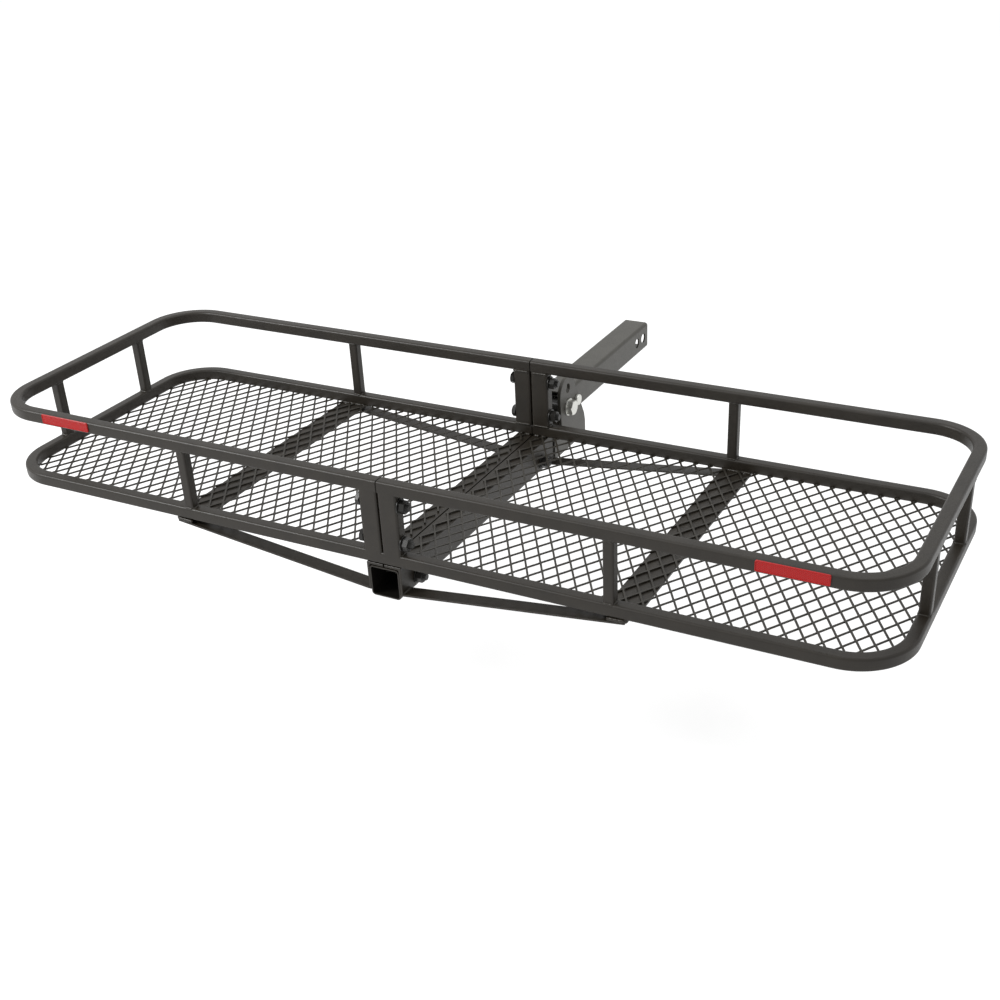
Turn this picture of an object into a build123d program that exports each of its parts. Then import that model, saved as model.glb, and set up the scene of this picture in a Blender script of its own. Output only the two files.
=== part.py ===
from build123d import *
import math
import os

# Hitch cargo carrier, millimetres. +Z up, +Y towards the vehicle, +X to its right.
# Everything is drawn about the centre of the basket floor, then moved so that
# the origin is the centre of the shank's hitch pin hole.

# basket
LENGTH = 1524.0
WIDTH = 508.0
HEIGHT = 137.0
CORNER = 90.0
RAIL = 20.0
RAIL_WALL = 1.8
RAIL_EDGE = 4.0
HALF_L = LENGTH / 2
HALF_W = WIDTH / 2

# uprights
POST = 16.5
POST_WALL = 1.5
POST_EDGE = 3.0
POST_X = 361.0
END_POST_Y = 105.0
SEAM_POST_X = 32.0
SEAM_POST_WALL = 2.0

# floor
MESH_THICK = 3.5
MESH_SHORT = 25.4
MESH_LONG = 41.0
MESH_STRAND = 3.4
MESH_SEAM_X = 7.5
# where one knuckle of each half's mesh lies, outward from the seam and along Y
MESH_KNUCKLE = {"left": (4.5, -2.0), "right": (9.0, 3.9)}
CROSS_X = 371.0
CROSS_WIDE = 50.0
CROSS_THICK = 4.0
CROSS_LAP = 12.0

# centre beam: two angle irons either side of the support tube
TUBE = 50.8
TUBE_WALL = 2.5
TUBE_EDGE = 6.0
TUBE_END_Y = 380.0
ANGLE_THICK = 4.0
ANGLE_DEEP = 48.0
TUBE_GAP = 1.5
TUBE_TOP_Z = -ANGLE_THICK - TUBE_GAP
TUBE_MID_Z = TUBE_TOP_Z - TUBE / 2
ANGLE_OUT_X = TUBE / 2 + ANGLE_THICK

# flat bar braces under the front and rear rails
BRACE_WIDE = 25.4
BRACE_THICK = 3.0
BRACE_END_X = 386.0

# shank and fold hinge
SHANK = 50.0
SHANK_WALL = 3.0
SHANK_EDGE = 6.0
SHANK_MID_Z = 26.4
SHANK_END_Y = 690.0
PIVOT_Y = 315.0
PIVOT_Z = SHANK_MID_Z
LOCK_RADIUS = 35.0
LOCK_Y = PIVOT_Y + LOCK_RADIUS
PLATE_THICK = 6.0
PLATE_IN_X = TUBE / 2
PLATE_OUT_X = PLATE_IN_X + PLATE_THICK
LUG_R = 31.0
LUG_Z = 52.0
FOOT_START_Y = PIVOT_Y - 57
FOOT_END_Y = TUBE_END_Y + 4
FOOT_Z = -52.0
FOOT_STEP = ((FOOT_START_Y, -14.0), (PIVOT_Y - 28, -2.0))
HEEL = ((TUBE_END_Y, -10.0), (FOOT_END_Y, -26.0))

# pivot bolt, M16, through a spacer sleeve between the shank's ears
PIVOT_R = 8.0
PIVOT_BORE_R = 8.06
PIVOT_AF = 24.0
PIVOT_HEAD = 10.0
PIVOT_NUT = 13.0
PIVOT_THREAD_OUT = 4.0
PIVOT_WASHER = 3.0
PIVOT_WASHER_R = 15.2
PIVOT_WASHER_HOLE_R = 8.4
PIVOT_SEAT_X = PLATE_OUT_X + PIVOT_WASHER
SLEEVE_R = 11.5
SLEEVE_BORE_R = 8.4

# lock pin and hairpin clip
LOCK_PIN_R = 7.8
LOCK_BORE_R = 8.25
LOCK_RELIEF_R = 8.5
LOCK_HEAD_R = 9.8
LOCK_HEAD = 6.0
LOCK_TIP_X = -46.0
CLIP_X = -38.5
CLIP_WIRE_R = 1.5
CLIP_SLOT = 4.0
CLIP_BELOW = 20.0
CLIP_ABOVE = 40.0
CLIP_LOOP_R = 6.0
CLIP_WAIST_Y = 5.5
CLIP_WAIST_Z = 21.0
CLIP_HUG_Y = LOCK_PIN_R + 3.0
CLIP_HUG_Z = 2.0

# hitch pin holes through the shank
PIN_Y = 639.0
PIN_STEP = 30.0
PIN_BORE_R = 9.5

# M12 fasteners
BOLT_R = 6.0
BOLT_HOLE_R = 6.5
HEX_AF = 18.0
HEAD_HIGH = 7.5
NUT_HIGH = 10.0
WASHER_R = 12.0
WASHER_THICK = 2.0
THREAD_OUT = 5.0
SEAM_BOLT_Z = (38.0, 99.0)
TUBE_BOLT_Y = 210.0
TUBE_BOLT_Z = -34.0

# reflectors on the rear top rail
REFLECTOR_LONG = 97.0
REFLECTOR_HIGH = 16.0
REFLECTOR_THICK = 2.0
REFLECTOR_Z = 128.7
LEFT_REFLECTOR_X = -590.0
RIGHT_REFLECTOR_X = 612.5

ORIGIN = Pos(0, -PIN_Y, -SHANK_MID_Z)
SIDES = (("left", -1), ("right", 1))
ENDS = (("front", 1), ("rear", -1))


def save(name, *solids):
    placed = [ORIGIN * solid for solid in solids]
    shape = placed[0] if len(placed) == 1 else Compound(children=placed)
    export_step(shape, f"parts/{name}.step")


def block(x0, x1, y0, y1, z0, z1):
    centre = Pos((x0 + x1) / 2, (y0 + y1) / 2, (z0 + z1) / 2)
    return centre * Box(abs(x1 - x0), abs(y1 - y0), abs(z1 - z0))


def rod_x(x0, x1, y, z, radius):
    rod = Cylinder(radius, abs(x1 - x0), rotation=(0, 90, 0))
    return Pos((x0 + x1) / 2, y, z) * rod


def hex_x(x0, x1, y, z, across_flats):
    outline = RegularPolygon(across_flats / math.sqrt(3), 6)
    prism = extrude(Plane(origin=(min(x0, x1), y, z), z_dir=(1, 0, 0)) * outline, abs(x1 - x0))
    return prism.solid()


def tube_section(wide, high, wall, edge):
    inner = RectangleRounded(wide - 2 * wall, high - 2 * wall, max(edge - wall, 0.5))
    return RectangleRounded(wide, high, edge) - inner


def mirror_to(side, solid):
    """Keep a solid drawn at +X, or mirror it to -X."""
    return solid if side > 0 else solid.mirror(Plane.YZ)


# ---- rails: each is one U of square tube from the seam round to the seam ----
def u_rail(z_mid):
    reach = HALF_L - RAIL / 2
    across = HALF_W - RAIL / 2
    corners = [(0, -across, z_mid), (reach, -across, z_mid), (reach, across, z_mid), (0, across, z_mid)]
    path = FilletPolyline(*corners, radius=CORNER - RAIL / 2)
    start = Plane(origin=corners[0], x_dir=(0, 1, 0), z_dir=(1, 0, 0))
    return sweep(start * tube_section(RAIL, RAIL, RAIL_WALL, RAIL_EDGE), path=path).solid()


# ---- uprights ----
def upright(x, y, wide, deep, wall, edge):
    section = Pos(x, y, RAIL) * tube_section(wide, deep, wall, edge)
    return extrude(section, HEIGHT - 2 * RAIL).solid()


def seam_upright(y):
    post = upright(SEAM_POST_X / 2, y, SEAM_POST_X, RAIL, SEAM_POST_WALL, RAIL_EDGE)
    for z in SEAM_BOLT_Z:
        post -= rod_x(-1, SEAM_POST_X + 1, y, z, BOLT_HOLE_R)
    return post.solid()


# ---- floor ----
def mesh_panel(knuckle):
    knuckle_x, knuckle_y = knuckle
    inner_x = HALF_L - RAIL
    inner_y = HALF_W - RAIL
    outline = RectangleRounded(2 * inner_x, 2 * inner_y, CORNER - RAIL)
    outline &= Pos((MESH_SEAM_X + inner_x) / 2, 0) * Rectangle(inner_x - MESH_SEAM_X, 2 * inner_y)
    strand_half = MESH_STRAND / 2
    half_x = MESH_SHORT / 2
    half_y = MESH_LONG / 2
    inradius = half_x * half_y / math.hypot(half_x, half_y)
    open_part = 1 - strand_half / inradius
    hole_x = half_x * open_part
    hole_y = half_y * open_part
    rows = math.ceil(inner_y / half_y) + 1
    holes = []
    for column in range(-2, math.ceil(inner_x / half_x) + 1):
        x = knuckle_x + column * half_x
        for row in range(-rows, rows + 1):
            if (column + row) % 2 == 0:
                continue
            y = knuckle_y + row * half_y
            if x + hole_x < MESH_SEAM_X or x - hole_x > inner_x or abs(y) - hole_y > inner_y:
                continue
            corners = [(x - hole_x, y), (x, y - hole_y), (x + hole_x, y), (x, y + hole_y)]
            holes.append(make_face(Polyline(*corners, close=True)))
    sheet = outline - holes
    panel = extrude(sheet, MESH_THICK)
    return max(panel.solids(), key=lambda solid: solid.volume)


def cross_bar():
    half_long = HALF_W - RAIL + CROSS_LAP
    half_wide = CROSS_WIDE / 2
    return block(CROSS_X - half_wide, CROSS_X + half_wide, -half_long, half_long, -CROSS_THICK, 0)


def centre_angle():
    flange = block(0, ANGLE_OUT_X, -HALF_W, HALF_W, -ANGLE_THICK, 0)
    web = block(TUBE / 2, ANGLE_OUT_X, -HALF_W, HALF_W, -ANGLE_DEEP, 0)
    angle = flange + web
    for end in (-1, 1):
        angle -= rod_x(TUBE / 2 - 1, ANGLE_OUT_X + 1, end * TUBE_BOLT_Y, TUBE_BOLT_Z, BOLT_HOLE_R)
    return angle.solid()


def brace(end):
    """A flat bar laid flat, sloping from the centre angle up to the floor's cross bar."""
    inner_top = BRACE_THICK - ANGLE_DEEP
    outer_top = -CROSS_THICK
    corners = [
        (ANGLE_OUT_X, inner_top),
        (BRACE_END_X, outer_top),
        (BRACE_END_X, outer_top - BRACE_THICK),
        (ANGLE_OUT_X, inner_top - BRACE_THICK),
    ]
    face = make_face(Polyline(*[(x, 0, z) for x, z in corners], close=True))
    bar = extrude(face, BRACE_WIDE / 2, both=True, dir=(0, 1, 0))
    return (Pos(0, end * (HALF_W - BRACE_WIDE / 2), 0) * bar).solid()


# ---- centre beam, hinge and shank ----
def support_tube():
    section = tube_section(TUBE, TUBE, TUBE_WALL, TUBE_EDGE)
    start = Plane(origin=(0, -HALF_W, TUBE_MID_Z), x_dir=(1, 0, 0), z_dir=(0, 1, 0))
    tube = extrude(start * section, HALF_W + TUBE_END_Y)
    for end in (-1, 1):
        tube -= rod_x(-TUBE, TUBE, end * TUBE_BOLT_Y, TUBE_BOLT_Z, BOLT_HOLE_R)
    return tube.solid()


def hinge_plate():
    """Side plate: foot welded along the support tube, round lug above the shank."""
    lug_top = (PIVOT_Y, LUG_Z + LUG_R)
    lug_start = (PIVOT_Y - LUG_R, LUG_Z)
    lug_end = (PIVOT_Y + LUG_R, LUG_Z)
    foot_start = (FOOT_START_Y, FOOT_Z)
    foot_end = (FOOT_END_Y, FOOT_Z)
    edge = [
        Polyline(foot_start, *FOOT_STEP, lug_start),
        RadiusArc(lug_start, lug_top, LUG_R),
        RadiusArc(lug_top, lug_end, LUG_R),
        Polyline(lug_end, *HEEL, foot_end, foot_start),
    ]
    outline = make_face(Curve() + edge)
    side_plane = Plane(origin=(PLATE_IN_X, 0, 0), x_dir=(0, 1, 0), z_dir=(1, 0, 0))
    plate = extrude(side_plane * outline, PLATE_THICK)
    for y, z in ((PIVOT_Y, PIVOT_Z), (LOCK_Y, PIVOT_Z), (PIVOT_Y, PIVOT_Z + LOCK_RADIUS)):
        plate -= rod_x(PLATE_IN_X - 1, PLATE_OUT_X + 1, y, z, LOCK_BORE_R)
    return plate.solid()


def shank_tube():
    """Square tube with rounded hinge ears and a hidden arc relief for the lock pin."""
    ear_r = SHANK / 2
    section = tube_section(SHANK, SHANK, SHANK_WALL, SHANK_EDGE)
    start_y = PIVOT_Y - ear_r
    start = Plane(origin=(0, start_y, SHANK_MID_Z), x_dir=(1, 0, 0), z_dir=(0, 1, 0))
    tube = extrude(start * section, SHANK_END_Y - start_y)
    # top and bottom walls stop at the pivot, so only the two ears reach round it
    inner_half = SHANK / 2 - SHANK_WALL
    tube -= block(-inner_half, inner_half, start_y - 1, PIVOT_Y, 0, SHANK_MID_Z + SHANK)
    # ears are rounded about the pivot
    waste = block(-SHANK, SHANK, start_y - 1, PIVOT_Y, SHANK_MID_Z - SHANK, SHANK_MID_Z + SHANK)
    tube -= waste - rod_x(-SHANK, SHANK, PIVOT_Y, PIVOT_Z, ear_r)
    tube -= rod_x(-SHANK, SHANK, PIVOT_Y, PIVOT_Z, PIVOT_BORE_R)
    for step in (0, 1):
        tube -= rod_x(-SHANK, SHANK, PIN_Y + step * PIN_STEP, SHANK_MID_Z, PIN_BORE_R)
    # a quarter ring round the pivot, from the lock hole down through the bottom wall
    ring = rod_x(-SHANK, SHANK, PIVOT_Y, PIVOT_Z, LOCK_RADIUS + LOCK_RELIEF_R)
    ring -= rod_x(-SHANK, SHANK, PIVOT_Y, PIVOT_Z, LOCK_RADIUS - LOCK_RELIEF_R)
    reach = 2 * LOCK_RADIUS
    ring &= block(-SHANK, SHANK, PIVOT_Y, PIVOT_Y + reach, PIVOT_Z - reach, PIVOT_Z)
    tube -= ring
    tube -= rod_x(-SHANK, SHANK, LOCK_Y, PIVOT_Z, LOCK_RELIEF_R)
    return max(tube.solids(), key=lambda solid: solid.volume)


# ---- M12 fasteners through the seam and the centre beam, heads on -X ----
def cross_bolt(grip_half, y, z):
    head = hex_x(-grip_half - HEAD_HIGH, -grip_half, y, z, HEX_AF)
    end_x = grip_half + WASHER_THICK + NUT_HIGH + THREAD_OUT
    return (head + rod_x(-grip_half, end_x, y, z, BOLT_R)).solid()


def cross_nut(grip_half, y, z):
    start_x = grip_half + WASHER_THICK
    nut = hex_x(start_x, start_x + NUT_HIGH, y, z, HEX_AF)
    return (nut - rod_x(start_x - 1, start_x + NUT_HIGH + 1, y, z, BOLT_R)).solid()


def cross_washer(grip_half, y, z):
    disc = rod_x(grip_half, grip_half + WASHER_THICK, y, z, WASHER_R)
    return (disc - rod_x(grip_half - 1, grip_half + WASHER_THICK + 1, y, z, BOLT_HOLE_R)).solid()


# ---- pivot bolt, head on +X ----
def pivot_bolt():
    head = hex_x(PIVOT_SEAT_X, PIVOT_SEAT_X + PIVOT_HEAD, PIVOT_Y, PIVOT_Z, PIVOT_AF)
    shaft = rod_x(-PIVOT_SEAT_X - PIVOT_NUT - PIVOT_THREAD_OUT, PIVOT_SEAT_X, PIVOT_Y, PIVOT_Z, PIVOT_R)
    return (head + shaft).solid()


def pivot_nut():
    nut = hex_x(-PIVOT_SEAT_X - PIVOT_NUT, -PIVOT_SEAT_X, PIVOT_Y, PIVOT_Z, PIVOT_AF)
    return (nut - rod_x(-2 * TUBE, 0, PIVOT_Y, PIVOT_Z, PIVOT_R)).solid()


def pivot_washer(side):
    washer = rod_x(PLATE_OUT_X, PIVOT_SEAT_X, PIVOT_Y, PIVOT_Z, PIVOT_WASHER_R)
    washer -= rod_x(0, 2 * TUBE, PIVOT_Y, PIVOT_Z, PIVOT_WASHER_HOLE_R)
    return mirror_to(side, washer.solid())


def pivot_sleeve():
    half = SHANK / 2 - SHANK_WALL
    sleeve = rod_x(-half, half, PIVOT_Y, PIVOT_Z, SLEEVE_R)
    return (sleeve - rod_x(-half - 1, half + 1, PIVOT_Y, PIVOT_Z, SLEEVE_BORE_R)).solid()


# ---- lock pin and its hairpin clip ----
def lock_pin():
    seat = PLATE_OUT_X
    pin = rod_x(LOCK_TIP_X, seat, LOCK_Y, PIVOT_Z, LOCK_PIN_R)
    pin += rod_x(seat, seat + LOCK_HEAD, LOCK_Y, PIVOT_Z, LOCK_HEAD_R)
    half = CLIP_SLOT / 2
    pin -= block(LOCK_TIP_X - 1, CLIP_X + half, LOCK_Y - half, LOCK_Y + half, PIVOT_Z - TUBE, PIVOT_Z + TUBE)
    return pin.solid()


def hairpin_clip():
    """One bent wire: straight leg through the pin, loop above, bowed leg outside the pin."""
    top = PIVOT_Z + CLIP_ABOVE
    straight = Line((CLIP_X, LOCK_Y, PIVOT_Z - CLIP_BELOW), (CLIP_X, LOCK_Y, top))
    loop_top = (CLIP_X, LOCK_Y + CLIP_LOOP_R, top + CLIP_LOOP_R)
    loop_out = (CLIP_X, LOCK_Y + 2 * CLIP_LOOP_R, top)
    loop = ThreePointArc(straight @ 1, loop_top, loop_out)
    down = Spline(
        loop_out,
        (CLIP_X, LOCK_Y + CLIP_WAIST_Y, PIVOT_Z + CLIP_WAIST_Z),
        (CLIP_X, LOCK_Y + CLIP_HUG_Y, PIVOT_Z + CLIP_HUG_Z),
        tangents=[(0, 0, -1), (0, 0.35, -1)],
    )
    path = Wire([straight, loop, down])
    section = Plane(origin=straight @ 0, z_dir=(0, 0, 1)) * Circle(CLIP_WIRE_R)
    return sweep(section, path=path).solid()


# ---- reflectors on the rear top rail ----
def reflector(x):
    face_y = -HALF_W
    half = REFLECTOR_LONG / 2
    z0 = REFLECTOR_Z - REFLECTOR_HIGH / 2
    return block(x - half, x + half, face_y - REFLECTOR_THICK, face_y, z0, z0 + REFLECTOR_HIGH)


def main():
    os.makedirs("parts", exist_ok=True)
    rail_line = HALF_W - RAIL / 2
    bottom_rail = u_rail(RAIL / 2)
    top_rail = u_rail(HEIGHT - RAIL / 2)
    bar = cross_bar()
    angle = centre_angle()
    plate = hinge_plate()
    for side_name, side in SIDES:
        save(f"{side_name}_bottom_rail", mirror_to(side, bottom_rail))
        save(f"{side_name}_top_rail", mirror_to(side, top_rail))
        save(f"{side_name}_mesh_floor", mirror_to(side, mesh_panel(MESH_KNUCKLE[side_name])))
        save(f"{side_name}_cross_bar", mirror_to(side, bar))
        save(f"{side_name}_centre_angle", mirror_to(side, angle))
        save(f"{side_name}_hinge_plate", mirror_to(side, plate))
        for end_name, end in ENDS:
            mid = upright(POST_X, end * rail_line, POST, POST, POST_WALL, POST_EDGE)
            outer = upright(HALF_L - RAIL / 2, end * END_POST_Y, POST, POST, POST_WALL, POST_EDGE)
            save(f"{side_name}_{end_name}_mid_post", mirror_to(side, mid))
            save(f"{side_name}_{end_name}_end_post", mirror_to(side, outer))
            save(f"{side_name}_{end_name}_seam_post", mirror_to(side, seam_upright(end * rail_line)))
            save(f"{side_name}_{end_name}_brace", mirror_to(side, brace(end)))

    seam_spots = [(end * rail_line, z) for end in (-1, 1) for z in SEAM_BOLT_Z]
    tube_spots = [(end * TUBE_BOLT_Y, TUBE_BOLT_Z) for end in (-1, 1)]
    for group, grip, spots in (("seam", SEAM_POST_X, seam_spots), ("tube", ANGLE_OUT_X, tube_spots)):
        save(f"{group}_bolts", *[cross_bolt(grip, y, z) for y, z in spots])
        save(f"{group}_nuts", *[cross_nut(grip, y, z) for y, z in spots])
        save(f"{group}_washers", *[cross_washer(grip, y, z) for y, z in spots])

    save("support_tube", support_tube())
    save("shank_tube", shank_tube())
    save("pivot_bolt", pivot_bolt())
    save("pivot_nut", pivot_nut())
    save("pivot_washers", pivot_washer(-1), pivot_washer(1))
    save("pivot_sleeve", pivot_sleeve())
    save("lock_pin", lock_pin())
    save("hairpin_clip", hairpin_clip())
    save("left_reflector", reflector(LEFT_REFLECTOR_X))
    save("right_reflector", reflector(RIGHT_REFLECTOR_X))


if __name__ == "__main__":
    main()
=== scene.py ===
"""Looks of the hitch cargo carrier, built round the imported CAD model. Metres, +Z up, +Y to the vehicle."""

import math

import bmesh
import bpy
import numpy as np
from mathutils import Matrix, Vector


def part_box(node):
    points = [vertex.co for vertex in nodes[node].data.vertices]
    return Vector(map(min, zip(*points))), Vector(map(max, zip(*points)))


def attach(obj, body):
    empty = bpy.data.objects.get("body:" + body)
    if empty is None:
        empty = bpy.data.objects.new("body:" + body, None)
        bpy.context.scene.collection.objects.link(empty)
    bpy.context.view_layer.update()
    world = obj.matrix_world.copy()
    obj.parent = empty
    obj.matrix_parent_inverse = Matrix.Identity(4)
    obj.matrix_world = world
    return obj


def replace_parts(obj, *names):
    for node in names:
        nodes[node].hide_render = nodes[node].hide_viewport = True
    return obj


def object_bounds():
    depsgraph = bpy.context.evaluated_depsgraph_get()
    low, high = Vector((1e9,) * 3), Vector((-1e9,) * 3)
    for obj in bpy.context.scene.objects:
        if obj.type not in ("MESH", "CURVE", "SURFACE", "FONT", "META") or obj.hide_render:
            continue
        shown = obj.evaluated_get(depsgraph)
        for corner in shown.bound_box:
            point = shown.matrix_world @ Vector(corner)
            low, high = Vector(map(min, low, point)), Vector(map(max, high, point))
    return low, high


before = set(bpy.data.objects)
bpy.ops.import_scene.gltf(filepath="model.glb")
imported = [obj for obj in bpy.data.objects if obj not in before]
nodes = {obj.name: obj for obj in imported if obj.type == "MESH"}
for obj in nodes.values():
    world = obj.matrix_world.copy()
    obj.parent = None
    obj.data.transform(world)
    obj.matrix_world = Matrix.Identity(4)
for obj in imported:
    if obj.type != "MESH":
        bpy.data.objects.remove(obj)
cad_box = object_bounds()

MM = 0.001
SIDES = (("left", -1), ("right", 1))
ENDS = (("front", 1), ("rear", -1))


def span(node):
    """Lowest and highest corner of a CAD node, as Vectors."""
    low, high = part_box(node)
    return Vector(low), Vector(high)


def middle(node):
    low, high = span(node)
    return (low + high) / 2


# ---------------------------------------------------------------- places read from the CAD
RAIL_LOW, RAIL_HIGH = span("right_bottom_rail")
RAIL = RAIL_HIGH.z - RAIL_LOW.z
FLOOR_Y = middle("right_bottom_rail").y
HALF_L = RAIL_HIGH.x
HALF_W = (RAIL_HIGH.y - RAIL_LOW.y) / 2
FLOOR_Z = RAIL_LOW.z
CORNER = 90 * MM


# ---------------------------------------------------------------- materials
def new_material(name):
    material = bpy.data.materials.new(name)
    material.use_nodes = True
    tree = material.node_tree
    tree.nodes.clear()
    output = tree.nodes.new("ShaderNodeOutputMaterial")
    shader = tree.nodes.new("ShaderNodeBsdfPrincipled")
    tree.links.new(shader.outputs["BSDF"], output.inputs["Surface"])
    return material, tree, shader


def noise_node(tree, scale, detail=2.0, roughness=0.5, stretch=None):
    """Noise in the object's own metres, so the grain keeps its real size."""
    place = tree.nodes.new("ShaderNodeTexCoord")
    source = place.outputs["Object"]
    if stretch:
        mapping = tree.nodes.new("ShaderNodeMapping")
        mapping.inputs["Scale"].default_value = stretch
        tree.links.new(source, mapping.inputs["Vector"])
        source = mapping.outputs["Vector"]
    texture = tree.nodes.new("ShaderNodeTexNoise")
    texture.inputs["Scale"].default_value = scale
    texture.inputs["Detail"].default_value = detail
    texture.inputs["Roughness"].default_value = roughness
    tree.links.new(source, texture.inputs["Vector"])
    return texture.outputs["Fac"]


def spread(tree, fac, low, high, from_low=0.35, from_high=0.65):
    """Maps a noise value to a range of plain numbers."""
    node = tree.nodes.new("ShaderNodeMapRange")
    node.inputs["From Min"].default_value = from_low
    node.inputs["From Max"].default_value = from_high
    node.inputs["To Min"].default_value = low
    node.inputs["To Max"].default_value = high
    tree.links.new(fac, node.inputs["Value"])
    return node.outputs["Result"]


def two_colours(tree, fac, dark, light):
    ramp = tree.nodes.new("ShaderNodeValToRGB")
    ramp.color_ramp.elements[0].position = 0.35
    ramp.color_ramp.elements[0].color = (*dark, 1)
    ramp.color_ramp.elements[1].position = 0.68
    ramp.color_ramp.elements[1].color = (*light, 1)
    tree.links.new(fac, ramp.inputs["Fac"])
    return ramp.outputs["Color"]


def bump(tree, height, distance, strength, under=None):
    node = tree.nodes.new("ShaderNodeBump")
    node.inputs["Strength"].default_value = strength
    node.inputs["Distance"].default_value = distance
    tree.links.new(height, node.inputs["Height"])
    if under:
        tree.links.new(under, node.inputs["Normal"])
    return node.outputs["Normal"]


def powder_coat(name, dark, light, rough_low, rough_high, grain=0.5, gloss=0.34):
    """Satin powder coat: faint cloudy tone, orange peel and a fine grain."""
    material, tree, shader = new_material(name)
    cloud = noise_node(tree, 28, 3, 0.6)
    peel = noise_node(tree, 620, 2, 0.45)
    fine = noise_node(tree, 2600, 1, 0.5)
    tree.links.new(two_colours(tree, cloud, dark, light), shader.inputs["Base Color"])
    tree.links.new(spread(tree, peel, rough_low, rough_high), shader.inputs["Roughness"])
    shader.inputs["Specular IOR Level"].default_value = gloss
    peel_normal = bump(tree, peel, 0.00022, 0.35 * grain)
    tree.links.new(bump(tree, fine, 0.00006, 0.5 * grain, peel_normal), shader.inputs["Normal"])
    return material


def zinc(name, tone):
    """Bright zinc plate: metallic, slightly streaked and mottled."""
    material, tree, shader = new_material(name)
    streak = noise_node(tree, 260, 3, 0.6, stretch=(1, 7, 7))
    mottle = noise_node(tree, 90, 3, 0.6)
    light = tuple(min(1.0, c * 1.12) for c in tone)
    tree.links.new(two_colours(tree, mottle, tone, light), shader.inputs["Base Color"])
    tree.links.new(spread(tree, streak, 0.24, 0.42), shader.inputs["Roughness"])
    shader.inputs["Metallic"].default_value = 1.0
    tree.links.new(bump(tree, streak, 0.00005, 0.35), shader.inputs["Normal"])
    return material


def reflector_plastic(name):
    """Red lens over a prism field: a fine diagonal grid of facets."""
    material, tree, shader = new_material(name)
    place = tree.nodes.new("ShaderNodeTexCoord")
    turn = tree.nodes.new("ShaderNodeMapping")
    turn.inputs["Rotation"].default_value = (0, math.radians(45), 0)
    turn.inputs["Scale"].default_value = (420, 420, 420)
    tree.links.new(place.outputs["Object"], turn.inputs["Vector"])
    cells = tree.nodes.new("ShaderNodeTexVoronoi")
    cells.feature = "F1"
    cells.inputs["Randomness"].default_value = 0.0
    cells.inputs["Scale"].default_value = 1.0
    tree.links.new(turn.outputs["Vector"], cells.inputs["Vector"])
    # painted facet shading: each prism cell is painted lighter red at its centre and darker towards its rim,
    # in place of the light and shade on its facets
    painted_facet_shading = two_colours(tree, cells.outputs["Distance"], (0.34, 0.010, 0.010), (0.22, 0.006, 0.006))
    tree.links.new(painted_facet_shading, shader.inputs["Base Color"])
    shader.inputs["Roughness"].default_value = 0.34
    shader.inputs["Specular IOR Level"].default_value = 0.2
    tree.links.new(bump(tree, cells.outputs["Distance"], 0.0002, 0.2), shader.inputs["Normal"])
    return material


FRAME_COAT = powder_coat("frame_powder_coat", (0.0095, 0.0072, 0.0044), (0.0135, 0.0106, 0.0068), 0.38, 0.50)
MESH_COAT = powder_coat("mesh_powder_coat", (0.0140, 0.0118, 0.0085), (0.0200, 0.0172, 0.0125), 0.40, 0.52)
SHANK_COAT = powder_coat("shank_powder_coat", (0.034, 0.032, 0.026), (0.042, 0.040, 0.033), 0.36, 0.46)
WELD_COAT = powder_coat("weld_powder_coat", (0.0120, 0.0095, 0.0062), (0.0175, 0.0145, 0.0100),
                        0.28, 0.42, grain=1.0)
BLACK_STEEL = powder_coat("black_hardware", (0.0070, 0.0066, 0.0058), (0.0120, 0.0115, 0.0100),
                          0.30, 0.42, grain=0.6, gloss=0.30)
# near-black and dull, for the inside of the support tube: painted shade where the bore lies in shadow
BORE_PAINTED_SHADE = powder_coat("tube_bore_painted_shade", (0.0035, 0.0030, 0.0024), (0.0060, 0.0052, 0.0042),
                        0.75, 0.90, grain=0.8, gloss=0.05)
ZINC = zinc("zinc_plate", (0.56, 0.56, 0.53))
RED_LENS = reflector_plastic("red_reflector")


# ---------------------------------------------------------------- mesh helpers
def add_piece(name, verts, faces, material, body, sharp=35, even=True):
    mesh = bpy.data.meshes.new(name)
    mesh.from_pydata([tuple(v) for v in verts], [], faces)
    return finish_piece(name, mesh, material, body, sharp, even)


def finish_piece(name, mesh, material, body, sharp=35, even=True):
    clean = bmesh.new()
    clean.from_mesh(mesh)
    bmesh.ops.recalc_face_normals(clean, faces=clean.faces)
    clean.to_mesh(mesh)
    clean.free()
    for polygon in mesh.polygons:
        polygon.use_smooth = True
    mesh.set_sharp_from_angle(angle=math.radians(sharp))
    mesh.materials.clear()
    mesh.materials.append(material)
    piece = bpy.data.objects.new(name, mesh)
    bpy.context.scene.collection.objects.link(piece)
    if even:
        # large flats keep their own direction and only the rounded edges turn
        flats = piece.modifiers.new("even_flats", "WEIGHTED_NORMAL")
        flats.keep_sharp = True
    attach(piece, body)
    return piece


class Shell:
    """Collects closed skins so that several like details can share one piece."""

    def __init__(self):
        self.verts = []
        self.faces = []

    def rings(self, rings, closed=False, cap=True):
        """Joins equal rings of points into a skin, with end caps or joined end to end."""
        base = len(self.verts)
        count = len(rings[0])
        for ring in rings:
            self.verts.extend(ring)
        steps = len(rings) if closed else len(rings) - 1
        for i in range(steps):
            a = base + i * count
            b = base + ((i + 1) % len(rings)) * count
            for j in range(count):
                k = (j + 1) % count
                self.faces.append((a + j, a + k, b + k, b + j))
        if cap and not closed:
            last = base + (len(rings) - 1) * count
            self.faces.append(tuple(base + j for j in reversed(range(count))))
            self.faces.append(tuple(last + j for j in range(count)))

    def piece(self, name, material, body, slot, sharp=35, even=True):
        return add_piece(name, self.verts, self.faces, material, body, sharp, even)


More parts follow.
